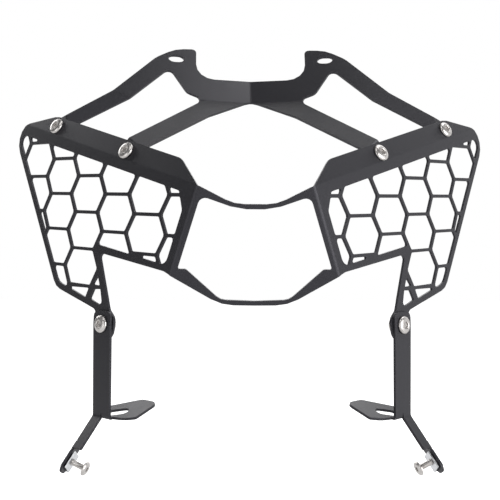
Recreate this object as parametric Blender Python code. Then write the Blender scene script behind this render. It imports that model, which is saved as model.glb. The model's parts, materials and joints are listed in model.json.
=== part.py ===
"""Motorcycle headlight guard: a folded honeycomb panel, an upper bracket, two legs and their screws.

Metres, +Z up, +X to the right seen from the front, the front faces -Y. The sizes below are in millimetres.
The panel is drawn as a flat pattern and carried round its bends. The bracket and the legs are flat facets
that meet at folds. Screws, washers and nuts are placed from the holes that they pass through.
"""
import math

import bmesh
import bpy
from mathutils import Matrix, Vector

MM = 0.001

# Sheet and clearances
SHEET = 1.5
SEAT_GAP = 0.3
ARC_STEP = 24.0

# How deep a punch goes through each sheet
BRACKET_PUNCH = 8.0
LEG_PUNCH = 6.0
CLIP_PUNCH = 12.0

# Plate in the middle of the panel: it leans forward at the top
PLATE_FRONT = -77.1
PLATE_LEAN = 11.31

# Bend between the middle plate and each side panel, on the flat pattern
BEND_POINT = (38.8, 10.2)
BEND_TILT = 17.05
BEND_ANGLE = 44.8
BEND_RADIUS = 3.0
BEND_STEPS = 4

# Fold of the flange along the top of each side panel, on the flat pattern
FOLD_POINT = (100.3, 52.0)
FOLD_TILT = 13.76
FOLD_ANGLE = 21.0
FOLD_RADIUS = 2.5
FOLD_STEPS = 2

# Honeycomb: wide flat-top cells, the web between them and the radius of their corners
CELL_EDGE = 22.25
CELL_RUN = 6.2
CELL_HALF = 11.26
CELL_START = (155.4, 41.0)
CELL_CORNER = 1.3
WEB = 2.0
CELL_SLIVER = 0.3
CELL_ARC_STEP = 60.0
SPIKE = 12.0

# Holes
BOLT = 6.0
BOLT_CLEARANCE = 0.3
OUTER_HOLE = (168.3, 74.1)
INNER_HOLE = (94.7, 55.7)
TAB_HOLE = (99.1, -47.3)

# Panel outline, right half, flat: x, y and the corner radius
PANEL_EDGE = [
    (0.0, 24.9), (11.4, 24.9, 45.0), (31.2, 35.1), (49.6, 51.3, 8.0), (172.1, 82.0, 12.0),
    (217.9, 74.0, 13.0), (151.3, -29.7, 12.0), (107.8, -39.8, 4.0), (107.8, -56.0, 8.6),
    (90.4, -56.0, 8.6), (90.4, -42.6, 5.0), (95.6, -38.5, 3.0), (109.7, -5.6, 2.4),
    (49.4, -12.75, 10.0), (18.2, -31.0, 25.0), (0.0, -31.2),
]
# Opening in the middle of the panel, right half, from the bottom up
OPENING_EDGE = [
    (0.0, -28.7), (18.9, -28.0, 8.0), (37.6, -10.8, 2.0), (42.1, -10.8, 0.8), (29.5, 29.3, 4.0),
    (9.3, 22.2, 50.0), (0.0, 22.2),
]
# Field that the honeycomb fills, inside the borders of the side panel
GRILLE_EDGE = [
    (44.8, 32.0, 1.5), (211.8, 71.5, 4.6), (149.5, -26.2, 8.0), (101.9, -37.4, 2.2), (109.8, -18.8, 4.0),
    (113.9, -0.5), (50.6, -9.1, 5.0), (41.1, 21.4, 3.0),
]

# Below this height the web between the cells runs straight on to the borders and leaves these windows
FOOT_WEB = -25.0
FOOT_WINDOWS = [
    [(109.1, -19.3, 0.5), (113.4, -25.0, 0.5), (106.4, -25.2, 0.5)],
    [(112.0, -27.8, 0.6), (105.5, -27.2, 0.6), (102.4, -37.2, 2.0), (115.0, -33.8, 0.6)],
    [(116.9, -27.5, 0.6), (119.6, -33.5, 0.6), (135.8, -29.4, 0.8), (135.6, -28.2, 0.6)],
]

# Upper bracket, seen from the front (x, z): the bridge and ear facet with its corner radii
BRIDGE_DEPTH = 50.0
BRIDGE_LIFT = 42.0
BRIDGE_VALLEY = 14.0
BRIDGE_EDGE = [
    (0.0, 104.8), (0.0, 123.3), (39.4, 123.2, 21.0), (40.7, 150.8, 3.5), (56.0, 149.6, 22.0),
    (69.0, 140.5, 12.0), (94.3, 108.4), (82.6, 103.0), (58.7, 131.5, 3.9), (45.2, 110.6, 7.0),
    (37.2, 107.3, 2.5), (36.0, 104.5), (4.0, 103.9),
]
OUTER_ARM_TOP = (125.6, 86.1)
OUTER_ARM_LOW = (113.6, 82.8)
INNER_ARM_TOP = (75.8, 66.1)
INNER_ARM_NOSE = (36.8, 101.2, 2.5)
INNER_ARM_KINK = (28.8, 89.4, 6.0)
INNER_ARM_LOW = (63.1, 61.0)
# Ends of the arms behind the flange, from each hole: a point of the last fold, and the corners of the end
OUTER_ARM_FOLD = (-8.5, 0.0)
INNER_ARM_FOLD = (0.0, 7.0)
OUTER_TIP = [(-6.2, -4.5, 3.5), (6.6, -4.5, 4.0), (6.6, 5.0, 4.0)]
INNER_TIP = [(-6.6, -4.5, 4.0), (6.6, -4.5, 4.0)]
BRACKET_FOLD = 1.2
EAR_SLOT = (54.7, 140.4)
EAR_SLOT_LENGTH = 11.5
EAR_SLOT_WIDTH = 8.5
EAR_SLOT_FALL = 15.4

# Legs: the strip hangs from the tab's bolt, its foot lies this far down and in
LEG_WIDTH = 15.7
LEG_DROP = 53.5
LEG_SHIFT = 11.6
FOOT_WIDTH = 15.0
TONGUE_LIFT = 20.0
TONGUE_ROOT = 7.0
TONGUE_SET = 1.6
TONGUE_FOLD = 2.9
RELIEF = 0.6
RELIEF_DEPTH = 2.2
TONGUE_EDGE = [
    (-8.8, 4.4, 10.0), (-15.2, 7.9, 1.5), (-13.2, 27.3, 5.0), (0.3, 27.2, 5.0), (15.4, 12.7, 2.0),
    (14.3, 5.6, 2.0), (9.0, 4.4, 0.8),
]
TONGUE_SLOT_ENDS = ((5.2, 7.0), (-0.4, 10.9))
TONGUE_SLOT_WIDTH = 7.4
STAY_FORWARD = 38.0
STAY_LENGTH = 21.6
STAY_FOLD = 1.0
LUG_OUT = 0.8
LUG_FOLD_START = 17.0
LUG_FOLD = 1.4
LUG_ANGLE = 58.0
LUG_WIDTH = 9.0
LUG_REACH = 14.0
LUG_HOLE_DOWN = 6.0

# Fasteners
HEAD_DIAMETER = 10.5
HEAD_HEIGHT = 3.3
SOCKET_ACROSS = 4.0
SOCKET_DEPTH = 2.0
WASHER_DIAMETER = 12.0
WASHER_THICK = 1.2
NUT_ACROSS = 10.0
NUT_THICK = 5.0
THREAD_PROUD = 2.0
LEG_WASHER_THICK = 0.8
LEG_NUT_DIAMETER = 9.4
LEG_NUT_THICK = 2.4
LEG_THREAD_PROUD = 0.0
SIDES = 18

# Clip nuts on the lugs and the screws that are started in them
CLIP_LENGTH = 10.4
CLIP_WIDTH = 10.0
CLIP_BACK = 7.6
CLIP_SPRING = 0.9
CLIP_SHEET = 0.7
CLIP_ARC_STEP = 45.0
CLIP_SCREW = 3.5
CLIP_HEAD_DIAMETER = 8.4
CLIP_HEAD_HEIGHT = 2.6
CLIP_SOCKET = 2.6
CLIP_SCREW_OUT = 8.2
CLIP_SCREW_PROUD = 0.0


def radians(value):
    return math.radians(value)


def rounded(corners, step=ARC_STEP):
    """Points of a closed outline whose corners carry an optional radius as a third value."""
    points = []
    for index, corner in enumerate(corners):
        here = Vector(corner[:2])
        radius = corner[2] if len(corner) > 2 else 0.0
        back = Vector(corners[index - 1][:2]) - here
        ahead = Vector(corners[(index + 1) % len(corners)][:2]) - here
        turn = math.pi - back.angle(ahead)
        if radius <= 0.0 or turn < 0.03:
            points.append(here)
            continue
        reach = min(radius * math.tan(turn / 2), 0.48 * back.length, 0.48 * ahead.length)
        radius = reach / math.tan(turn / 2)
        towards = (back.normalized() + ahead.normalized()).normalized()
        centre = here + towards * (radius / math.cos(turn / 2))
        spoke = here + back.normalized() * reach - centre
        left = back.y * ahead.x - back.x * ahead.y
        swing = math.copysign(turn, left)
        steps = max(1, math.ceil(turn / radians(step)))
        for k in range(steps + 1):
            points.append(centre + Matrix.Rotation(swing * k / steps, 2) @ spoke)
    return points


def stadium(length, width, sides=12):
    """Outline of a slot with round ends, its long axis on X."""
    radius = width / 2
    reach = length / 2 - radius
    points = []
    for k in range(sides + 1):
        angle = math.pi * k / sides - math.pi / 2
        points.append(Vector((reach + radius * math.cos(angle), radius * math.sin(angle))))
    return points + [-p for p in points]


def circle(radius, sides=SIDES):
    return [Vector((radius * math.cos(math.tau * k / sides), radius * math.sin(math.tau * k / sides)))
            for k in range(sides)]


def moved(points, centre):
    return [p + Vector(centre) for p in points]


def clipped(points, start, end):
    """The part of an outline on the left of the line from start to end."""
    along = end - start
    kept = []
    for index, here in enumerate(points):
        before = points[index - 1]
        side_here = along.cross(here - start)
        side_before = along.cross(before - start)
        if (side_here >= 0) != (side_before >= 0):
            kept.append(before.lerp(here, side_before / (side_before - side_here)))
        if side_here >= 0:
            kept.append(here)
    return kept


def tidied(points, nearest=0.3):
    """The outline without points that nearly coincide and without thin spikes."""
    kept = []
    for here in points:
        if not kept or (here - kept[-1]).length > nearest:
            kept.append(here)
    while len(kept) > 2 and (kept[0] - kept[-1]).length <= nearest:
        kept.pop()
    for index, here in enumerate(kept):
        back = kept[index - 1] - here
        ahead = kept[(index + 1) % len(kept)] - here
        if len(kept) > 3 and back.angle(ahead) < radians(SPIKE):
            return tidied(kept[:index] + kept[index + 1:], nearest)
    return kept


def area_and_rim(points):
    area = 0.0
    rim = 0.0
    for index, here in enumerate(points):
        before = points[index - 1]
        area += before.cross(here) / 2
        rim += (here - before).length
    return abs(area), rim


def corner_radii(points, radius):
    """Give every true corner of an outline the radius, and leave the points of its arcs alone."""
    corners = []
    for index, here in enumerate(points):
        back = points[index - 1] - here
        ahead = points[(index + 1) % len(points)] - here
        turn = math.pi - back.angle(ahead)
        corners.append((here.x, here.y, radius if turn > radians(ARC_STEP + 4) else 0.0))
    return corners


def honeycomb():
    """Openings of the honeycomb on the right side panel: each cell, less half the web, inside the field."""
    field = rounded(GRILLE_EDGE)
    inner_corner = Vector(GRILLE_EDGE[5][:2])
    half_edge = CELL_EDGE / 2
    point = half_edge + CELL_RUN
    hexagon = [(point, 0), (half_edge, CELL_HALF), (-half_edge, CELL_HALF), (-point, 0),
               (-half_edge, -CELL_HALF), (half_edge, -CELL_HALF)]
    hexagon = [Vector(p) for p in hexagon]
    pitch = CELL_EDGE + CELL_RUN
    cells = []
    for column in range(-3, 6):
        for row in range(-6, 4):
            lift = CELL_HALF if column % 2 else 0.0
            centre = Vector((CELL_START[0] - pitch * column, CELL_START[1] + 2 * CELL_HALF * row + lift))
            cell = field
            for k in range(6):
                start = centre + hexagon[k]
                end = centre + hexagon[(k + 1) % 6]
                inward = (end - start).orthogonal().normalized()
                if inward.dot(centre - start) < 0:
                    inward = -inward
                start = start + inward * WEB / 2
                end = end + inward * WEB / 2
                cell = clipped(cell, start, end)
                if len(cell) < 3:
                    break
            if centre.x < inner_corner.x and abs(centre.y - inner_corner.y) < 2 * CELL_HALF:
                cell = clipped(cell, Vector(GRILLE_EDGE[6][:2]), inner_corner)
            cell = tidied(cell)
            if len(cell) < 3:
                continue
            area, rim = area_and_rim(cell)
            middle = sum(cell, Vector((0.0, 0.0))) / len(cell)
            if area / rim < CELL_SLIVER or middle.y < FOOT_WEB:
                continue
            cells.append(tidied(rounded(corner_radii(cell, CELL_CORNER), CELL_ARC_STEP), 0.1))
    return cells + [rounded(window, CELL_ARC_STEP) for window in FOOT_WINDOWS]


def bent(past, height, angle, radius):
    """Carry a point round a backward bend.

    past is the distance beyond the bend line, height the distance in front of the front face.
    """
    half = radius * angle / 2
    if past <= -half:
        return past, height
    swing = min(past + half, 2 * half) / radius
    beyond = max(past - half, 0.0)
    reach = (radius + height) * math.sin(swing) + beyond * math.cos(swing) - half
    lift = (radius + height) * math.cos(swing) - beyond * math.sin(swing) - radius
    return reach, lift


def fold_lines():
    """Point, direction, outward direction, angle, radius and steps of the two bends of a side."""
    fold_along = Vector((math.cos(radians(FOLD_TILT)), math.sin(radians(FOLD_TILT))))
    bend_along = Vector((-math.sin(radians(BEND_TILT)), math.cos(radians(BEND_TILT))))
    return (
        (Vector(FOLD_POINT), fold_along, Vector((-fold_along.y, fold_along.x)), radians(FOLD_ANGLE),
         FOLD_RADIUS, FOLD_STEPS),
        (Vector(BEND_POINT), bend_along, Vector((bend_along.y, -bend_along.x)), radians(BEND_ANGLE),
         BEND_RADIUS, BEND_STEPS),
    )


def folded(x, y, height=0.0):
    """Place of a point of the panel's flat pattern once the panel is folded."""
    flat = Vector((abs(x), y))
    for point, along, outward, angle, radius, steps in fold_lines():
        run = (flat - point).dot(along)
        past, height = bent((flat - point).dot(outward), height, angle, radius)
        flat = point + along * run + outward * past
    lean = radians(PLATE_LEAN)
    up = Vector((0.0, -math.sin(lean), math.cos(lean)))
    front = Vector((0.0, -math.cos(lean), -math.sin(lean)))
    return Vector((math.copysign(flat.x, x), PLATE_FRONT, 0.0)) + up * flat.y + front * height


def front_normal(x, y):
    return (folded(x, y, 1.0) - folded(x, y)).normalized()


def placing(origin, axis, across):
    """Matrix that puts local Z on axis and local X along across, at an origin in millimetres."""
    local_z = axis.normalized()
    local_x = (across - local_z * across.dot(local_z)).normalized()
    local_y = local_z.cross(local_x)
    matrix = Matrix((local_x, local_y, local_z)).transposed().to_4x4()
    matrix.translation = origin * MM
    return matrix


def mirrored(vector, side):
    return Vector((side * vector.x, vector.y, vector.z))


def material(name, colour, metallic, roughness):
    result = bpy.data.materials.new(name)
    result.use_nodes = True
    shader = result.node_tree.nodes["Principled BSDF"]
    shader.inputs["Base Color"].default_value = (*colour, 1.0)
    shader.inputs["Metallic"].default_value = metallic
    shader.inputs["Roughness"].default_value = roughness
    return result


def object_from(bm, name, look, parent):
    """Finish a mesh that was drawn in millimetres and make its object."""
    bmesh.ops.scale(bm, vec=(MM, MM, MM), verts=bm.verts)
    mesh = bpy.data.meshes.new(name)
    bm.to_mesh(mesh)
    bm.free()
    mesh.shade_smooth()
    mesh.set_sharp_from_angle(angle=radians(28))
    mesh.materials.append(look)
    return object_with(mesh, name, parent)


def object_with(mesh, name, parent):
    result = bpy.data.objects.new(name, mesh)
    bpy.context.scene.collection.objects.link(result)
    result.parent = parent
    return result


def put(obj, matrix):
    obj.location = matrix.to_translation()
    obj.rotation_euler = matrix.to_euler()


def cut(target, outline, depth, matrix, name, parent):
    """Punch an outline through a sheet, half the depth to each side of the matrix's plane."""
    bm = bmesh.new()
    face = bm.faces.new([bm.verts.new((p.x, p.y, -depth / 2)) for p in outline])
    top = bmesh.ops.extrude_face_region(bm, geom=[face], use_keep_orig=True)
    raised = [v for v in top["geom"] if isinstance(v, bmesh.types.BMVert)]
    bmesh.ops.translate(bm, vec=(0, 0, depth), verts=raised)
    bmesh.ops.recalc_face_normals(bm, faces=bm.faces)
    bmesh.ops.scale(bm, vec=(MM, MM, MM), verts=bm.verts)
    mesh = bpy.data.meshes.new(name)
    bm.to_mesh(mesh)
    bm.free()
    cutter = object_with(mesh, name, parent)
    put(cutter, matrix)
    cutter.hide_render = True
    cutter.display_type = "WIRE"
    modifier = target.modifiers.new(name, "BOOLEAN")
    modifier.operation = "DIFFERENCE"
    modifier.object = cutter
    return cutter


def guard_panel(look, parent):
    """Draw the right half of the flat pattern, mirror it, give it the sheet's thickness and fold it."""
    loops = [rounded(PANEL_EDGE + OPENING_EDGE)] + honeycomb()
    hole = circle((BOLT + 2 * BOLT_CLEARANCE) / 2)
    loops += [moved(hole, centre) for centre in (OUTER_HOLE, INNER_HOLE, TAB_HOLE)]
    bm = bmesh.new()
    rims = []
    for loop in loops:
        verts = [bm.verts.new((p.x, p.y, 0.0)) for p in loop]
        rims += [bm.edges.new((verts[k - 1], verts[k])) for k in range(len(verts))]
    bmesh.ops.triangle_fill(bm, use_beauty=True, use_dissolve=False, edges=rims)
    for point, along, outward, angle, radius, steps in fold_lines():
        for k in range(steps + 1):
            spot = point + outward * (radius * angle * (k / steps - 0.5))
            geometry = bm.verts[:] + bm.edges[:] + bm.faces[:]
            bmesh.ops.bisect_plane(bm, geom=geometry, dist=0.0001, plane_co=spot.to_3d(),
                                   plane_no=outward.to_3d())
    bmesh.ops.mirror(bm, geom=bm.verts[:] + bm.edges[:] + bm.faces[:], axis="X", merge_dist=0.001)
    bmesh.ops.recalc_face_normals(bm, faces=bm.faces)
    back = bmesh.ops.extrude_face_region(bm, geom=bm.faces[:], use_keep_orig=True)
    for vert in back["geom"]:
        if isinstance(vert, bmesh.types.BMVert):
            vert.co.z = -SHEET
    for vert in bm.verts:
        vert.co = folded(*vert.co)
    bmesh.ops.recalc_face_normals(bm, faces=bm.faces)
    return object_from(bm, "guard_panel", look, parent)


def folded_sheet(name, facets, front, setback, look, parent):
    """One sheet from flat facets that share their fold lines, with rounded folds and its thickness."""
    bm = bmesh.new()
    for facet in facets:
        bm.faces.new([bm.verts.new(p) for p in facet])
    bmesh.ops.remove_doubles(bm, verts=bm.verts, dist=0.01)
    bmesh.ops.recalc_face_normals(bm, faces=bm.faces)
    bm.faces.ensure_lookup_table()
    if bm.faces[0].normal.dot(front) < 0:
        bmesh.ops.reverse_faces(bm, faces=bm.faces)
    if setback > 0.0:
        folds = [edge for edge in bm.edges if len(edge.link_faces) == 2]
        bmesh.ops.bevel(bm, geom=folds, offset=setback, offset_type="OFFSET", segments=3, profile=0.5,
                        affect="EDGES", clamp_overlap=True)
    result = object_from(bm, name, look, parent)
    thicken = result.modifiers.new("sheet", "SOLIDIFY")
    thicken.thickness = SHEET * MM
    thicken.offset = -1.0
    thicken.use_even_offset = True
    thicken.use_quality_normals = True
    return result


def on_plane(spot, point, normal):
    """The point of a plane that lies behind the spot (x, z) of the front view."""
    depth = point.y - (normal.x * (spot[0] - point.x) + normal.z * (spot[1] - point.z)) / normal.y
    return Vector((spot[0], depth, spot[1]))


def through(a, b, c):
    return (b - a).cross(c - a).normalized()


def meets(start, end, point, normal):
    """Where the line from start through end meets a plane."""
    along = end - start
    return start + along * ((point - start).dot(normal) / along.dot(normal))


def front_facet(edge, point, normal):
    """Facet of a plane from its outline in the front view."""
    return [on_plane(p, point, normal) for p in rounded(edge)]


def tip_axes(hole):
    """A flange hole's centre on the bracket's front face, the directions along and across the flange."""
    along = (folded(hole[0] + 1, hole[1] + math.tan(radians(FOLD_TILT))) - folded(*hole)).normalized()
    up = along.cross(front_normal(*hole))
    if up.z < 0:
        up = -up
    return folded(*hole, -SHEET - SEAT_GAP), along, up


def arm_tip(hole, top, low, end):
    """Tip of an arm behind the flange: from the arm's last fold to the end round the flange's hole."""
    centre, along, up = tip_axes(hole)
    corners = [((low - centre).dot(along), (low - centre).dot(up))] + end
    corners.append(((top - centre).dot(along), (top - centre).dot(up)))
    return [centre + along * p.x + up * p.y for p in rounded(corners)]


def upper_bracket(look, parent):
    """Bridge with its two ears, and on each side an outer and an inner arm bolted behind the flange."""
    lift = radians(BRIDGE_LIFT)
    valley = radians(BRIDGE_VALLEY)
    bridge = Vector((-math.cos(lift) * math.sin(valley), -math.cos(lift) * math.cos(valley), math.sin(lift)))
    low = Vector((0.0, BRIDGE_DEPTH, BRIDGE_EDGE[0][1]))
    outer_knee, inner_knee, nose, chin = [on_plane(BRIDGE_EDGE[k], low, bridge) for k in (6, 7, 11, 12)]
    flange_point = folded(*INNER_HOLE, -SHEET - SEAT_GAP)
    flange = front_normal(*INNER_HOLE)
    centre, along, up = tip_axes(OUTER_HOLE)
    outer = through(outer_knee, inner_knee, centre + along * OUTER_ARM_FOLD[0] + up * OUTER_ARM_FOLD[1])
    outer_top = meets(outer_knee, on_plane(OUTER_ARM_TOP, outer_knee, outer), flange_point, flange)
    outer_low = meets(inner_knee, on_plane(OUTER_ARM_LOW, outer_knee, outer), flange_point, flange)
    centre, along, up = tip_axes(INNER_HOLE)
    inner = through(nose, chin, centre + along * INNER_ARM_FOLD[0] + up * INNER_ARM_FOLD[1])
    bend = on_plane(INNER_ARM_NOSE, nose, inner)
    inner_top = meets(bend, on_plane(INNER_ARM_TOP, nose, inner), flange_point, flange)
    kink = on_plane(INNER_ARM_KINK, nose, inner)
    inner_low = meets(kink, on_plane(INNER_ARM_LOW, nose, inner), flange_point, flange)
    outer_arm = [outer_knee, outer_top, outer_low, inner_knee]
    inner_edge = [(nose.x, nose.z), INNER_ARM_NOSE, (inner_top.x, inner_top.z), (inner_low.x, inner_low.z),
                  INNER_ARM_KINK, (chin.x, chin.z)]
    facets = [front_facet(BRIDGE_EDGE, low, bridge), outer_arm, front_facet(inner_edge, nose, inner),
              arm_tip(OUTER_HOLE, outer_top, outer_low, OUTER_TIP),
              arm_tip(INNER_HOLE, inner_top, inner_low, INNER_TIP)]
    facets += [[mirrored(p, -1) for p in facet] for facet in facets]
    result = folded_sheet("upper_bracket", facets, bridge, BRACKET_FOLD, look, parent)
    slot = stadium(EAR_SLOT_LENGTH, EAR_SLOT_WIDTH, 8)
    fall = radians(EAR_SLOT_FALL)
    hole = circle((BOLT + 2 * BOLT_CLEARANCE) / 2)
    for side, word in ((1, "right"), (-1, "left")):
        centre = mirrored(on_plane(EAR_SLOT, low, bridge), side)
        across = mirrored(Vector((math.cos(fall), 0.0, -math.sin(fall))), side)
        matrix = placing(centre, mirrored(bridge, side), across)
        cut(result, slot, BRACKET_PUNCH, matrix, "ear_slot_" + word, parent)
        for spot, which in ((OUTER_HOLE, "outer"), (INNER_HOLE, "inner")):
            centre = mirrored(folded(*spot, -SHEET), side)
            matrix = placing(centre, mirrored(front_normal(*spot), side), Vector((1, 0, 0)))
            cut(result, hole, BRACKET_PUNCH, matrix, "tip_hole_" + which + "_" + word, parent)
    return result


def leg_axes():
    """Bolt's place on the front face of the right leg's strip, and the strip's outward, up and front axes."""
    front = front_normal(*TAB_HOLE)
    outward = Vector((-front.y, front.x, 0.0)).normalized()
    up = front.cross(-outward)
    if up.z < 0:
        up = -up
    return folded(*TAB_HOLE, SEAT_GAP + SHEET), outward, up, front


def leg_frames():
    """Directions of the right leg's foot: tongue, stay and lug, and the lug hole's centre outside."""
    bolt, outward, up, front = leg_axes()
    corner = bolt - outward * LEG_SHIFT - up * LEG_DROP
    tilt = radians(TONGUE_LIFT)
    tongue = -front * math.cos(tilt) + up * math.sin(tilt)
    stay = -up * math.cos(radians(STAY_FORWARD)) + front * math.sin(radians(STAY_FORWARD))
    stay_front = outward.cross(stay)
    if stay_front.z < 0:
        stay_front = -stay_front
    turn = radians(LUG_ANGLE)
    lug = outward * math.cos(turn) - stay_front * math.sin(turn)
    lug_face = stay_front * math.cos(turn) + outward * math.sin(turn)
    hinge = corner + outward * (FOOT_WIDTH + LUG_OUT) + stay * STAY_LENGTH
    hole = hinge + stay * LUG_HOLE_DOWN + lug * (LUG_WIDTH / 2 + LUG_FOLD)
    return corner, tongue, stay, lug, lug_face, hinge, hole


def fold_band(ends, arriving, leaving, setback, steps=4):
    """Rounded fold between two facets, from the ends of the line where they would meet."""
    rows = []
    for k in range(steps + 1):
        part = k / steps
        inward = -arriving * setback * (1 - part) ** 2
        outward = leaving * setback * part ** 2
        rows.append([end + inward + outward for end in ends])
    return [[a[0], a[1], b[1], b[0]] for a, b in zip(rows, rows[1:])]


def leg(side, name, look, parent):
    """Strip, slotted tongue folded back at its foot, and narrow stay with a lug for a clip nut."""
    bolt, outward, up, front = leg_axes()
    corner, tongue, stay, lug, lug_face, hinge, hole = leg_frames()
    half = LEG_WIDTH / 2
    root = TONGUE_ROOT
    gap = root + RELIEF
    foot = [(half, half, half - 0.1), (half, 0.0)]
    low = -LEG_DROP + STAY_FOLD
    foot += [(FOOT_WIDTH - LEG_SHIFT, low), (gap - LEG_SHIFT, low)]
    foot += [(gap - LEG_SHIFT, -LEG_DROP + RELIEF_DEPTH), (root - LEG_SHIFT, -LEG_DROP + RELIEF_DEPTH)]
    low = -LEG_DROP - TONGUE_SET + TONGUE_FOLD
    foot += [(root - LEG_SHIFT, low), (-LEG_SHIFT, low)]
    foot += [(-half, 0.0), (-half, half, half - 0.1)]
    strip = [bolt + outward * p.x + up * p.y for p in rounded(foot)]
    base = corner - up * TONGUE_SET
    flap = [(root, TONGUE_FOLD), (0.0, TONGUE_FOLD)] + TONGUE_EDGE
    flap = [base + outward * p.x + tongue * p.y for p in rounded(flap)]
    edge = FOOT_WIDTH + LUG_OUT - LUG_FOLD
    arm = [(FOOT_WIDTH, STAY_FOLD), (gap, STAY_FOLD), (gap, STAY_LENGTH, 1.2), (edge, STAY_LENGTH),
           (edge, LUG_FOLD_START), (FOOT_WIDTH, LUG_FOLD_START - RELIEF)]
    arm = [corner + outward * p.x + stay * p.y for p in rounded(arm)]
    back = LUG_FOLD_START - STAY_LENGTH
    far = LUG_FOLD + LUG_WIDTH
    ear = [(back, LUG_FOLD), (0.0, LUG_FOLD), (LUG_REACH, LUG_FOLD, 4.3), (LUG_REACH, far, 4.3),
           (back, far, 2.0)]
    ear = [hinge + stay * p.x + lug * p.y for p in rounded(ear)]
    facets = [strip, flap, arm, ear]
    facets += fold_band((base, base + outward * root), -up, tongue, TONGUE_FOLD)
    facets += fold_band((corner + outward * gap, corner + outward * FOOT_WIDTH), -up, stay, STAY_FOLD)
    facets += fold_band((hinge + stay * back, hinge), outward, lug, LUG_FOLD)
    facets = [[mirrored(p, side) for p in facet] for facet in facets]
    result = folded_sheet(name, facets, mirrored(front, side), 0.0, look, parent)
    word = name.split("_")[1]
    bore = circle((BOLT + 2 * BOLT_CLEARANCE) / 2)
    matrix = placing(mirrored(bolt, side), mirrored(front, side), mirrored(outward, side))
    cut(result, bore, LEG_PUNCH, matrix, "strip_hole_" + word, parent)
    ends = [base + outward * p[0] + tongue * p[1] for p in TONGUE_SLOT_ENDS]
    run = ends[1] - ends[0]
    slot = stadium(run.length + TONGUE_SLOT_WIDTH, TONGUE_SLOT_WIDTH, 8)
    matrix = placing(mirrored((ends[0] + ends[1]) / 2, side), mirrored(outward.cross(tongue), side),
                     mirrored(run, side))
    cut(result, slot, LEG_PUNCH, matrix, "tongue_slot_" + word, parent)
    bore = circle(CLIP_SCREW / 2 + 2 * BOLT_CLEARANCE)
    matrix = placing(mirrored(hole, side), mirrored(lug_face, side), mirrored(stay, side))
    cut(result, bore, LEG_PUNCH, matrix, "lug_hole_" + word, parent)
    return result


def ring_mesh(rings, sides, closed):
    """Turned piece from rings (radius, z, is_hexagon). A hexagon's radius is half its width across flats."""
    bm = bmesh.new()
    loops = []
    for radius, z, hexagon in rings:
        loop = []
        for k in range(sides):
            angle = math.tau * k / sides
            reach = radius
            if hexagon:
                reach = radius / math.cos(angle % (math.pi / 3) - math.pi / 6)
            loop.append(bm.verts.new((reach * math.cos(angle), reach * math.sin(angle), z)))
        loops.append(loop)
    pairs = list(zip(loops, loops[1:]))
    if closed:
        pairs.append((loops[-1], loops[0]))
    else:
        bm.faces.new(loops[0])
        bm.faces.new(loops[-1])
    for first, second in pairs:
        for k in range(sides):
            bm.faces.new((first[k - 1], first[k], second[k], second[k - 1]))
    bmesh.ops.recalc_face_normals(bm, faces=bm.faces)
    return bm


def mesh_from(bm, name, look):
    bmesh.ops.scale(bm, vec=(MM, MM, MM), verts=bm.verts)
    mesh = bpy.data.meshes.new(name)
    bm.to_mesh(mesh)
    bm.free()
    mesh.shade_smooth()
    mesh.set_sharp_from_angle(angle=radians(28))
    mesh.materials.append(look)
    return mesh


def screw_rings(diameter, length, head, height, socket, depth):
    """Button screw with a hexagon socket; z is 0 under the head, which is on +Z."""
    rim = head / 2
    return [(diameter / 2 - 0.5, -length, False), (diameter / 2, -length + 0.6, False),
            (diameter / 2, 0.0, False), (rim, 0.0, False), (rim, 0.22 * height, False),
            (0.86 * rim, 0.7 * height, False), (0.6 * rim, height, False), (socket / 2, height, True),
            (socket / 2, height - depth, True)]


def stack_meshes(word, grip, washer, nut, hexagonal, proud, steel):
    """Meshes and heights of a button screw, its washer and its nut; both are (diameter, thickness)."""
    length = grip + 3 * SEAT_GAP + washer[1] + nut[1] + proud
    bore = (BOLT + 2 * BOLT_CLEARANCE) / 2
    rings = screw_rings(BOLT, length, HEAD_DIAMETER, HEAD_HEIGHT, SOCKET_ACROSS, SOCKET_DEPTH)
    stack = [("screw", mesh_from(ring_mesh(rings, SIDES, False), word + "_screw", steel), SEAT_GAP)]
    under = -grip
    for kind, size, flats in (("washer", washer, False), ("nut", nut, hexagonal)):
        across, thick = size
        under -= SEAT_GAP + thick
        rings = [(bore, 0, False), (across / 2, 0, flats), (across / 2, thick, flats), (bore, thick, False)]
        stack.append((kind, mesh_from(ring_mesh(rings, SIDES, True), word + "_" + kind, steel), under))
    return stack


def bolt_stack(origin, front, name, stack, parent):
    """Screw, washer and nut through a stack of sheets; origin is on the outermost front face."""
    across = Vector((0.0, 0.0, 1.0))
    for word, mesh, height in stack:
        piece = object_with(mesh, name + "_" + word, parent)
        put(piece, placing(origin + front * height, front, across))


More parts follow.
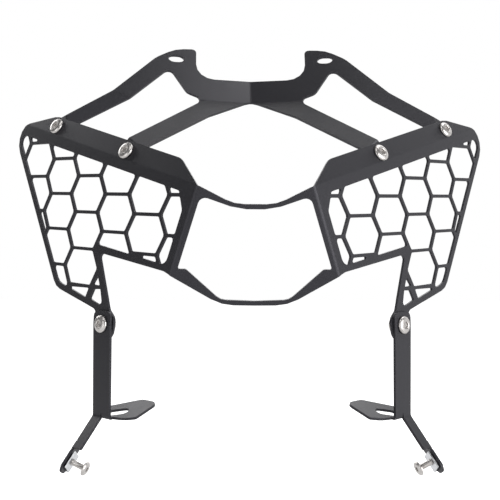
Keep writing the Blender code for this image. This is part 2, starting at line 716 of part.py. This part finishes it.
def clip_nut(side, word, look, parent):
    """Spring clip bent over the lug's far edge, open for the screw on both of its faces."""
    corner, tongue, stay, lug, lug_face, hinge, hole = leg_frames()
    inner = SHEET + SEAT_GAP + CLIP_SPRING
    end = LUG_WIDTH / 2 + SEAT_GAP
    start = end + CLIP_SHEET - CLIP_WIDTH
    back = end - CLIP_BACK
    profile = [(back, SEAT_GAP), (end, SEAT_GAP), (end, -inner), (start, -inner),
               (start, -inner - CLIP_SHEET), (end + CLIP_SHEET, -inner - CLIP_SHEET, 1.1),
               (end + CLIP_SHEET, SEAT_GAP + CLIP_SHEET, 1.1), (back, SEAT_GAP + CLIP_SHEET)]
    bm = bmesh.new()
    near = []
    for p in rounded(profile, CLIP_ARC_STEP):
        near.append(bm.verts.new(mirrored(hole + lug * p.x + lug_face * p.y - stay * CLIP_LENGTH / 2, side)))
    face = bm.faces.new(near)
    far = bmesh.ops.extrude_face_region(bm, geom=[face], use_keep_orig=True)
    shift = mirrored(stay * CLIP_LENGTH, side)
    bmesh.ops.translate(bm, vec=shift, verts=[v for v in far["geom"] if isinstance(v, bmesh.types.BMVert)])
    bmesh.ops.recalc_face_normals(bm, faces=bm.faces)
    result = object_from(bm, "clip_nut_" + word, look, parent)
    bore = circle(CLIP_SCREW / 2 + BOLT_CLEARANCE)
    matrix = placing(mirrored(hole, side), mirrored(lug_face, side), mirrored(stay, side))
    cut(result, bore, CLIP_PUNCH, matrix, "clip_hole_" + word, parent)
    return result


def main():
    for old in list(bpy.data.objects):
        bpy.data.objects.remove(old, do_unlink=True)
    coat = material("black_powder_coat", (0.028, 0.028, 0.03), 0.0, 0.42)
    steel = material("stainless_steel", (0.55, 0.55, 0.56), 1.0, 0.28)
    zinc = material("zinc_plate", (0.5, 0.5, 0.5), 1.0, 0.4)
    base = bpy.data.objects.new("guard_base", None)
    bpy.context.scene.collection.objects.link(base)

    pieces = [guard_panel(coat, base), upper_bracket(coat, base)]
    pieces.append(leg(1, "leg_right", coat, base))
    pieces.append(leg(-1, "leg_left", coat, base))

    grip = 2 * SHEET + SEAT_GAP
    washer = (WASHER_DIAMETER, WASHER_THICK)
    flange_stack = stack_meshes("flange", grip, washer, (NUT_ACROSS, NUT_THICK), True, THREAD_PROUD, steel)
    washer = (WASHER_DIAMETER, LEG_WASHER_THICK)
    nut = (LEG_NUT_DIAMETER, LEG_NUT_THICK)
    leg_stack = stack_meshes("leg", grip, washer, nut, False, LEG_THREAD_PROUD, steel)

    length = CLIP_SCREW_OUT + 2 * CLIP_SHEET + 2 * SEAT_GAP + SHEET + CLIP_SPRING + CLIP_SCREW_PROUD
    rings = screw_rings(CLIP_SCREW, length, CLIP_HEAD_DIAMETER, CLIP_HEAD_HEIGHT, CLIP_SOCKET, 1.2)
    clip_screw = mesh_from(ring_mesh(rings, SIDES, False), "clip_screw", steel)

    for side, word in ((1, "right"), (-1, "left")):
        for spot, which in ((OUTER_HOLE, "outer"), (INNER_HOLE, "inner")):
            origin = mirrored(folded(*spot), side)
            front = mirrored(front_normal(*spot), side)
            bolt_stack(origin, front, "flange_" + which + "_" + word, flange_stack, base)
        bolt, outward, up, front = leg_axes()
        bolt_stack(mirrored(bolt, side), mirrored(front, side), "leg_" + word, leg_stack, base)
        clip_nut(side, word, zinc, base)
        corner, tongue, stay, lug, lug_face, hinge, hole = leg_frames()
        out = SHEET + SEAT_GAP + CLIP_SPRING + CLIP_SHEET + CLIP_SCREW_OUT
        piece = object_with(clip_screw, "clip_screw_" + word, base)
        put(piece, placing(mirrored(hole - lug_face * out, side), mirrored(-lug_face, side),
                           mirrored(stay, side)))

    # The part's origin is the middle of its box
    graph = bpy.context.evaluated_depsgraph_get()
    low = Vector((math.inf, math.inf, math.inf))
    high = -low
    for obj in bpy.context.scene.objects:
        if obj.type != "MESH" or obj.hide_render:
            continue
        shape = obj.evaluated_get(graph)
        for vert in shape.data.vertices:
            spot = shape.matrix_world @ vert.co
            for axis in range(3):
                low[axis] = min(low[axis], spot[axis])
                high[axis] = max(high[axis], spot[axis])
    base.location = -(low + high) / 2


main()
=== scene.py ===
"""Looks of the motorcycle headlight guard: finishes, screws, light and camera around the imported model."""
import json
import math

import bmesh
import bpy
import numpy as np
from mathutils import Matrix, Vector

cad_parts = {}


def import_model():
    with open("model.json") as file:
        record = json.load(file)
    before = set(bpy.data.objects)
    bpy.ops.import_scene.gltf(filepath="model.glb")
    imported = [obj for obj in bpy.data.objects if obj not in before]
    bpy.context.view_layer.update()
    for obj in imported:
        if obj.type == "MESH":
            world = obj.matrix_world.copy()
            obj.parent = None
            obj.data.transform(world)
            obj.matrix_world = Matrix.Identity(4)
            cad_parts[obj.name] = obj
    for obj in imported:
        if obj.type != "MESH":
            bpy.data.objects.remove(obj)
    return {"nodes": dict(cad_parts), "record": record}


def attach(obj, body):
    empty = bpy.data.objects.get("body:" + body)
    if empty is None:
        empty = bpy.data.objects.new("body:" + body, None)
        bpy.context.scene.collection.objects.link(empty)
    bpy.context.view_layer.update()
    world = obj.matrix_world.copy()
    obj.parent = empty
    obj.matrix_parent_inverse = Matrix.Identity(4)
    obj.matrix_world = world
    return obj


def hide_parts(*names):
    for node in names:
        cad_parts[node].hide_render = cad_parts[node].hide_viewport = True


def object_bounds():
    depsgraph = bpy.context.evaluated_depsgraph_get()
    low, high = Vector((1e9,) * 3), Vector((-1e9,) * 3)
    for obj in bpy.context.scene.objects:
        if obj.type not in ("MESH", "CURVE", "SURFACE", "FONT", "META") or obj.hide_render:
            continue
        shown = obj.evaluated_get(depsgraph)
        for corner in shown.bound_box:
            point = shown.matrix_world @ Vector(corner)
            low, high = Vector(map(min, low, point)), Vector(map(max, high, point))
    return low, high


MM = 0.001
WHITE = (1, 1, 1, 1)

# Camera of the photograph: place and clipping in metres, focal length and sensor in mm, angles in degrees
CAMERA_PLACE = (-0.0113, -0.482191, -0.010483)
CAMERA_LENS = 54.0
CAMERA_SENSOR = 36.0
CAMERA_YAW = -1.204
CAMERA_ROLL = 0.316
CAMERA_NEAREST = 0.01
CAMERA_FARTHEST = 50.0

# Noise: its usual detail and roughness, and the spans of its values over which a look changes
NOISE_DETAIL = 3.0
NOISE_ROUGHNESS = 0.55
SOFT_SPAN = (0.3, 0.7)
SHARP_SPAN = (0.35, 0.65)

# Powder coat: size and height in metres, and strength, of its grain and of its slight orange peel
GRAIN_SIZE = 0.0007
GRAIN_HEIGHT = 0.00002
GRAIN_STRENGTH = 0.6
PEEL_SIZE = 0.0025
PEEL_HEIGHT = 0.00003
PEEL_STRENGTH = 0.5
PEEL_DETAIL = 1.0

# Powder coat: colour and roughness between the grains and on them, the size in metres of the clouds that add
# and take roughness, and the strength and tint of its gloss
COAT_COLOURS = ((0.009, 0.009, 0.011, 1), (0.016, 0.016, 0.019, 1))
COAT_ROUGHNESS = (0.38, 0.48)
COAT_CLOUD_SIZE = 0.03
COAT_CLOUD_ROUGHNESS = 0.02
COAT_SPECULAR = 0.42
COAT_TINT = (0.93, 0.91, 1.0, 1)

# Steels: the colours and the roughness between which each varies, and the size of its clouds in metres
STAINLESS = {"colours": ((0.50, 0.48, 0.465, 1), (0.60, 0.58, 0.565, 1)), "roughness": (0.30, 0.38),
             "cloud_size": 0.003}
ZINC = {"colours": ((0.60, 0.61, 0.63, 1), (0.74, 0.75, 0.77, 1)), "roughness": (0.26, 0.40),
        "cloud_size": 0.002}

# Fine scratches on the steels: size and height in metres, and strength
SCRATCH_SIZE = 0.0004
SCRATCH_HEIGHT = 0.00001
SCRATCH_STRENGTH = 0.2

# Rounding of the cut edges, in metres: what the coat's shading softens, and the bevel of the steel parts,
# which is put where their faces meet at more than STEEL_ROUND_ANGLE degrees
COAT_ROUND = 0.0003
COAT_ROUND_SAMPLES = 6
STEEL_ROUND = 0.0001
STEEL_ROUND_SEGMENTS = 2
STEEL_ROUND_ANGLE = 30.0

# Reading a packed screw: digits to which its points are rounded in metres, the part of the largest radius
# from which a point is on the rim, and how far below the head the shank begins, in mm
POINT_DIGITS = 6
RIM_PART = 0.98
SHANK_BELOW = 0.3

# Screws, in mm: the dome of the button head, its mouth, the socket's width across flats and its depth, the
# depth of the drill point in it, and the thread's pitch
LARGE_SCREW = {"dome": 2.0, "mouth": 5.2, "socket": 4.0, "depth": 1.2, "drill": 0.6, "pitch": 1.0}
SMALL_SCREW = {"dome": 1.9, "mouth": 3.9, "socket": 2.5, "depth": 0.9, "drill": 0.4, "pitch": 0.6}

# Screws: faces all round, rings of the dome, the angle in degrees from which an edge stays sharp, and in mm
# the head's rim, the chamfer under it and those at its mouth. DRILL_PART is a share of the socket's width
SCREW_SIDES = 48
DOME_STEPS = 9
SHARP_ANGLE = 38.0
RIM_HEIGHT = 0.35
RIM_CHAMFER_IN = 0.15
RIM_CHAMFER_UP = 0.1
MOUTH_CHAMFER = 0.1
SOCKET_CHAMFER = 0.1
SOCKET_CHAMFER_MARGIN = 0.12
SOCKET_CHAMFER_TOP = 0.2
SOCKET_CHAMFER_END = 0.25
DRILL_PART = 0.85

# Threads: rings in each pitch, how steep the flanks are where 1 gives a sharp crest, and in pitches the
# thread's depth, its distance from the head, and the lengths over which it fades out at tip and head
THREAD_STEPS = 6
THREAD_STEEPNESS = 1.25
THREAD_DEPTH = 0.5
THREAD_FROM_HEAD = 0.5
THREAD_FADE_TIP = 1.0
THREAD_FADE_HEAD = 0.5

# Floor below the hanging guard, in metres. The white added for the camera rises from FLOOR_WHITE within
# FLOOR_NEAR of the middle to 1 from FLOOR_FAR on. With the lamps' light all of it comes out white, and the
# guard's shadow doesn't show
FLOOR_DROP = 0.31
FLOOR_SPAN = 12.0
FLOOR_COLOUR = (0.8, 0.8, 0.8, 1)
FLOOR_ROUGHNESS = 0.9
FLOOR_WHITE = 0.2
FLOOR_NEAR = 0.25
FLOOR_FAR = 0.8

# Surroundings: fill light, and the darker room that glossy surfaces show towards ROOM_SIDE, on the camera's
# side and above. ROOM_EDGE is how far a direction points that way where the dark begins and where it is full
FILL = 0.25
ROOM_SIDE = (-0.4, -0.5, 0.77)
ROOM_EDGE = (-0.45, 0.25)
ROOM_DARK = 0.15

# Soft lamps, all facing the guard: name, place, size in metres, power in watts
LAMPS = [
    ("softbox_front_right", (1.1, -1.1, 0.1), 1.3, 25.0),
    ("softbox_front_left", (-1.1, -1.1, 0.1), 0.9, 4.0),
    ("softbox_top_right", (0.6, 0.2, 1.33), 0.8, 7.0),
    ("softbox_top_front", (-0.25, -0.85, 1.28), 0.8, 4.5),
    ("softbox_back_left", (-1.05, 0.9, 0.72), 0.9, 9.5),
    ("softbox_back_right", (1.0, 0.9, 0.8), 0.9, 3.0),
    ("softbox_back", (0.0, 1.4, 0.75), 1.2, 9.0),
]


def nodes_of(name):
    """A new material, its node tree and its Principled shader."""
    material = bpy.data.materials.new(name)
    material.use_nodes = True
    tree = material.node_tree
    return material, tree, tree.nodes["Principled BSDF"]


def add(tree, kind, inputs=None, **values):
    """A node with its properties and its sockets set; a socket's value may be another node's output."""
    node = tree.nodes.new(kind)
    for key, value in values.items():
        setattr(node, key, value)
    for key, value in (inputs or {}).items():
        if isinstance(value, bpy.types.NodeSocket):
            tree.links.new(value, node.inputs[key])
        else:
            node.inputs[key].default_value = value
    return node


def noise(tree, place, size, detail=NOISE_DETAIL):
    """Noise whose features are about size metres wide."""
    return add(tree, "ShaderNodeTexNoise", {"Vector": place, "Scale": 1.0 / size, "Detail": detail,
                                            "Roughness": NOISE_ROUGHNESS}).outputs["Fac"]


def ramp(tree, value, span, low, high):
    """low where value is below the span, high where it is above it, and a straight run between them."""
    return add(tree, "ShaderNodeMapRange", {"Value": value, "From Min": span[0], "From Max": span[1],
                                            "To Min": low, "To Max": high}).outputs["Result"]


def mixed(tree, factor, colours):
    """The colour between two colours."""
    node = add(tree, "ShaderNodeMix", data_type="RGBA")
    tree.links.new(factor, node.inputs["Factor"])
    node.inputs["A"].default_value = colours[0]
    node.inputs["B"].default_value = colours[1]
    return node.outputs["Result"]


def powder_coat():
    """Satin black powder coat with its fine grain and slight orange peel."""
    material, tree, shader = nodes_of("powder_coat_black")
    place = add(tree, "ShaderNodeTexCoord").outputs["Object"]
    grain = noise(tree, place, GRAIN_SIZE)
    peel = noise(tree, place, PEEL_SIZE, PEEL_DETAIL)
    cloud = noise(tree, place, COAT_CLOUD_SIZE)
    colour = mixed(tree, ramp(tree, grain, SOFT_SPAN, 0.0, 1.0), COAT_COLOURS)
    tree.links.new(colour, shader.inputs["Base Color"])
    clouded = ramp(tree, cloud, SOFT_SPAN, -COAT_CLOUD_ROUGHNESS, COAT_CLOUD_ROUGHNESS)
    grained = ramp(tree, grain, SOFT_SPAN, *COAT_ROUGHNESS)
    rough = add(tree, "ShaderNodeMath", {0: clouded, 1: grained}, operation="ADD")
    tree.links.new(rough.outputs[0], shader.inputs["Roughness"])
    shader.inputs["Specular IOR Level"].default_value = COAT_SPECULAR
    shader.inputs["Specular Tint"].default_value = COAT_TINT
    edge = add(tree, "ShaderNodeBevel", {"Radius": COAT_ROUND}, samples=COAT_ROUND_SAMPLES)
    low = add(tree, "ShaderNodeBump", {"Height": peel, "Strength": PEEL_STRENGTH, "Distance": PEEL_HEIGHT,
                                       "Normal": edge.outputs["Normal"]})
    fine = add(tree, "ShaderNodeBump", {"Height": grain, "Strength": GRAIN_STRENGTH, "Distance": GRAIN_HEIGHT,
                                        "Normal": low.outputs["Normal"]})
    tree.links.new(fine.outputs["Normal"], shader.inputs["Normal"])
    return material


def steel(name, look):
    """Bare or plated steel: its colour and its gloss vary between two values, with fine scratches."""
    material, tree, shader = nodes_of(name)
    place = add(tree, "ShaderNodeTexCoord").outputs["Object"]
    fine = noise(tree, place, SCRATCH_SIZE)
    cloud = noise(tree, place, look["cloud_size"])
    colour = mixed(tree, ramp(tree, cloud, SHARP_SPAN, 0.0, 1.0), look["colours"])
    tree.links.new(colour, shader.inputs["Base Color"])
    shader.inputs["Metallic"].default_value = 1.0
    tree.links.new(ramp(tree, cloud, SOFT_SPAN, *look["roughness"]), shader.inputs["Roughness"])
    bump = add(tree, "ShaderNodeBump", {"Height": fine, "Strength": SCRATCH_STRENGTH,
                                        "Distance": SCRATCH_HEIGHT})
    tree.links.new(bump.outputs["Normal"], shader.inputs["Normal"])
    return material


def finishes():
    """The material of each of the record's slots."""
    return {
        "black_powder_coat": powder_coat(),
        "stainless_steel": steel("stainless_steel", STAINLESS),
        "zinc_plate": steel("zinc_plate", ZINC),
    }


def dress(frame, looks):
    """Gives each node its finish, and rounds the edges of the steel ones a little."""
    slots = {part["node"]: part["material_slot"] for part in frame["record"]["subparts"]}
    for name, node in frame["nodes"].items():
        node.data.materials.clear()
        node.data.materials.append(looks[slots[name]])
        if slots[name] == "black_powder_coat":
            continue
        bevel = node.modifiers.new("edge_round", "BEVEL")
        bevel.width = STEEL_ROUND
        bevel.segments = STEEL_ROUND_SEGMENTS
        bevel.limit_method = "ANGLE"
        bevel.angle_limit = math.radians(STEEL_ROUND_ANGLE)
        bevel.harden_normals = True


def axis_of(node):
    """Where a packed screw is: its middle, the way to its head, and in mm its tip, seat, rim and shank.

    Tip and seat are heights along the way from the middle, and rim and shank are radii.
    """
    spots = np.unique(np.round([vert.co for vert in node.data.vertices], POINT_DIGITS), axis=0)
    middle = spots.mean(0)
    values, ways = np.linalg.eigh(np.cov((spots - middle).T))
    odd = 2 if values[2] - values[1] > values[1] - values[0] else 0
    way = ways[:, odd]
    along = (spots - middle) @ way
    out = np.linalg.norm(spots - middle - np.outer(along, way), axis=1)
    on_rim = out > RIM_PART * out.max()
    if along[on_rim].mean() < (along.min() + along.max()) / 2:
        way = -way
        along = -along
    seat = along[on_rim].min()
    shank = out[along < seat - SHANK_BELOW * MM].max()
    return Vector(middle), Vector(way), [value / MM for value in (along.min(), seat, out.max(), shank)]


def hexagon(flat, angle):
    """Distance from a hexagon's middle to its outline at an angle; flat is half its width across flats."""
    sector = math.pi / 3
    return flat / math.cos((angle + sector / 2) % sector - sector / 2)


def thread_ring(height, tip, end, shank, pitch):
    """Radius round a thread at a height: a helix that fades out at both ends."""
    from_tip = (height - tip) / (THREAD_FADE_TIP * pitch)
    from_end = (end - height) / (THREAD_FADE_HEAD * pitch)
    cover = max(0.0, min(1.0, from_tip, from_end))
    radii = []
    for k in range(SCREW_SIDES):
        phase = (height / pitch - k / SCREW_SIDES) % 1.0
        flank = min(1.0, THREAD_STEEPNESS * (1.0 - abs(2.0 * phase - 1.0)))
        radii.append(shank - THREAD_DEPTH * pitch * (1.0 - cover * flank))
    return radii


def thread_rings(tip, seat, shank, pitch):
    """Rings of a screw's shank from the middle of its flat tip to its head."""
    end = seat - THREAD_FROM_HEAD * pitch
    count = math.ceil((end - tip) / pitch * THREAD_STEPS)
    rings = [(tip, [])]
    for k in range(count + 1):
        height = tip + (end - tip) * k / count
        rings.append((height, thread_ring(height, tip, end, shank, pitch)))
    return rings + [(seat, shank - THREAD_DEPTH * pitch)]


def head_rings(seat, rim, look):
    """Rings of a button head from its seat over its dome to the drill point of its socket."""
    mouth = look["mouth"] / 2
    flat = look["socket"] / 2
    top = seat + look["dome"]
    rings = [(seat, rim - RIM_CHAMFER_IN), (seat + RIM_CHAMFER_UP, rim), (seat + RIM_HEIGHT, rim)]
    for k in range(1, DOME_STEPS + 1):
        turn = math.pi / 2 * k / DOME_STEPS
        rings.append((seat + RIM_HEIGHT + (look["dome"] - RIM_HEIGHT) * math.sin(turn),
                      mouth + (rim - mouth) * math.cos(turn)))
    wall = [hexagon(flat, math.tau * k / SCREW_SIDES) for k in range(SCREW_SIDES)]
    lip = [min(reach + SOCKET_CHAMFER, mouth - SOCKET_CHAMFER_MARGIN) for reach in wall]
    floor = top - look["depth"]
    return rings + [(top, mouth - MOUTH_CHAMFER), (top - SOCKET_CHAMFER_TOP, lip),
                    (top - SOCKET_CHAMFER_END, wall), (floor, wall), (floor, flat * DRILL_PART),
                    (floor - look["drill"], [])]


def screw(node, look, material):
    """A finely modelled screw with thread and socket in the place of a packed one."""
    middle, way, (tip, seat, rim, shank) = axis_of(node)
    side = way.orthogonal().normalized()
    over = way.cross(side)
    bm = bmesh.new()
    before = []
    for height, reach in thread_rings(tip, seat, shank, look["pitch"]) + head_rings(seat, rim, look):
        centre = middle + way * height * MM
        if reach == []:
            ring = [bm.verts.new(centre)]
        else:
            ring = []
            for k in range(SCREW_SIDES):
                angle = math.tau * k / SCREW_SIDES
                radius = reach[k] if isinstance(reach, list) else reach
                out = side * math.cos(angle) + over * math.sin(angle)
                ring.append(bm.verts.new(centre + out * radius * MM))
        for k in range(SCREW_SIDES if before else 0):
            corners = [before[k % len(before)], before[(k + 1) % len(before)],
                       ring[(k + 1) % len(ring)], ring[k % len(ring)]]
            bm.faces.new(list(dict.fromkeys(corners)))
        before = ring
    bmesh.ops.recalc_face_normals(bm, faces=bm.faces)
    mesh = bpy.data.meshes.new(node.name + "_fine")
    bm.to_mesh(mesh)
    bm.free()
    mesh.materials.append(material)
    mesh.shade_smooth()
    mesh.set_sharp_from_angle(angle=math.radians(SHARP_ANGLE))
    piece = bpy.data.objects.new(node.name + "_fine", mesh)
    bpy.context.scene.collection.objects.link(piece)
    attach(piece, "root")
    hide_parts(node.name)


def camera():
    """Camera at the photograph's place and angle."""
    yaw = math.radians(CAMERA_YAW)
    roll = math.radians(CAMERA_ROLL)
    base = Matrix(((1, 0, 0), (0, 0, -1), (0, 1, 0)))
    turn = Matrix(((math.cos(yaw), 0, math.sin(yaw)), (0, 1, 0), (-math.sin(yaw), 0, math.cos(yaw))))
    tilt = Matrix(((math.cos(roll), -math.sin(roll), 0), (math.sin(roll), math.cos(roll), 0), (0, 0, 1)))
    seen = tilt @ turn @ base
    axes = Matrix((seen[0], -seen[1], -seen[2])).transposed()
    data = bpy.data.cameras.new("camera")
    data.lens = CAMERA_LENS
    data.sensor_width = CAMERA_SENSOR
    data.clip_start = CAMERA_NEAREST
    data.clip_end = CAMERA_FARTHEST
    eye = bpy.data.objects.new("camera", data)
    bpy.context.scene.collection.objects.link(eye)
    eye.matrix_world = Matrix.Translation(CAMERA_PLACE) @ axes.to_4x4()
    bpy.context.scene.camera = eye


def mirror_rays(tree):
    """Two switches: one is on for glossy and transmission rays, the other for the camera's own rays."""
    path = add(tree, "ShaderNodeLightPath").outputs
    mirror = add(tree, "ShaderNodeMath", {0: path["Is Glossy Ray"], 1: path["Is Transmission Ray"]},
                 operation="MAXIMUM")
    return mirror.outputs[0], path["Is Camera Ray"]


def surroundings():
    """White for the camera, fill light, and for glossy surfaces white with the darker room on one side."""
    world = bpy.data.worlds.new("studio")
    bpy.context.scene.world = world
    world.use_nodes = True
    tree = world.node_tree
    tree.nodes.clear()
    mirror, eye = mirror_rays(tree)
    place = add(tree, "ShaderNodeTexCoord").outputs["Generated"]
    towards = add(tree, "ShaderNodeVectorMath", {0: place, 1: ROOM_SIDE}, operation="DOT_PRODUCT")
    shade = ramp(tree, towards.outputs["Value"], ROOM_EDGE, 1.0, ROOM_DARK)
    fill = add(tree, "ShaderNodeBackground", {"Color": WHITE, "Strength": FILL}).outputs[0]
    room = add(tree, "ShaderNodeBackground", {"Color": WHITE, "Strength": shade}).outputs[0]
    white = add(tree, "ShaderNodeBackground", {"Color": WHITE, "Strength": 1.0}).outputs[0]
    shown = add(tree, "ShaderNodeMixShader", {0: mirror, 1: fill, 2: room}).outputs[0]
    shown = add(tree, "ShaderNodeMixShader", {0: eye, 1: shown, 2: white}).outputs[0]
    out = add(tree, "ShaderNodeOutputWorld")
    tree.links.new(shown, out.inputs["Surface"])


def floor(low):
    """Pale floor below the guard, white for the camera and where metal reflects it."""
    bm = bmesh.new()
    half = FLOOR_SPAN / 2
    corners = [(-half, -half), (half, -half), (half, half), (-half, half)]
    bm.faces.new([bm.verts.new((x, y, 0.0)) for x, y in corners])
    mesh = bpy.data.meshes.new("floor")
    bm.to_mesh(mesh)
    bm.free()
    material, tree, shader = nodes_of("floor_paper")
    shader.inputs["Base Color"].default_value = FLOOR_COLOUR
    shader.inputs["Roughness"].default_value = FLOOR_ROUGHNESS
    shader.inputs["Specular IOR Level"].default_value = 0.0
    shader.inputs["Emission Color"].default_value = WHITE
    mirror, eye = mirror_rays(tree)
    place = add(tree, "ShaderNodeTexCoord").outputs["Object"]
    away = add(tree, "ShaderNodeVectorMath", {0: place}, operation="LENGTH").outputs["Value"]
    white = ramp(tree, away, (FLOOR_NEAR, FLOOR_FAR), FLOOR_WHITE, 1.0)
    lift = add(tree, "ShaderNodeMath", {0: eye, 1: white}, operation="MULTIPLY").outputs[0]
    tree.links.new(lift, shader.inputs["Emission Strength"])
    paper = add(tree, "ShaderNodeEmission", {"Color": WHITE, "Strength": 1.0}).outputs[0]
    shown = add(tree, "ShaderNodeMixShader", {0: mirror, 1: shader.outputs[0], 2: paper}).outputs[0]
    tree.links.new(shown, tree.nodes["Material Output"].inputs["Surface"])
    mesh.materials.append(material)
    plane = bpy.data.objects.new("floor", mesh)
    bpy.context.scene.collection.objects.link(plane)
    plane.location.z = low - FLOOR_DROP


def softbox(name, place, size, power):
    """A soft square lamp at place that faces the guard."""
    data = bpy.data.lights.new(name, "AREA")
    data.shape = "SQUARE"
    data.size = size
    data.energy = power
    lamp = bpy.data.objects.new(name, data)
    bpy.context.scene.collection.objects.link(lamp)
    lamp.location = place
    lamp.rotation_euler = (-Vector(place)).to_track_quat("-Z", "Y").to_euler()


def main():
    """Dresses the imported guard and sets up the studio."""
    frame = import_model()
    cad_box = [list(corner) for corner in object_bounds()]
    looks = finishes()
    dress(frame, looks)
    for name, node in sorted(frame["nodes"].items()):
        if "screw" in name:
            look = SMALL_SCREW if name.startswith("clip") else LARGE_SCREW
            screw(node, look, looks["stainless_steel"])
    camera()
    surroundings()
    floor(cad_box[0][2])
    for lamp in LAMPS:
        softbox(*lamp)
    bpy.context.scene.view_settings.view_transform = "Standard"


main()
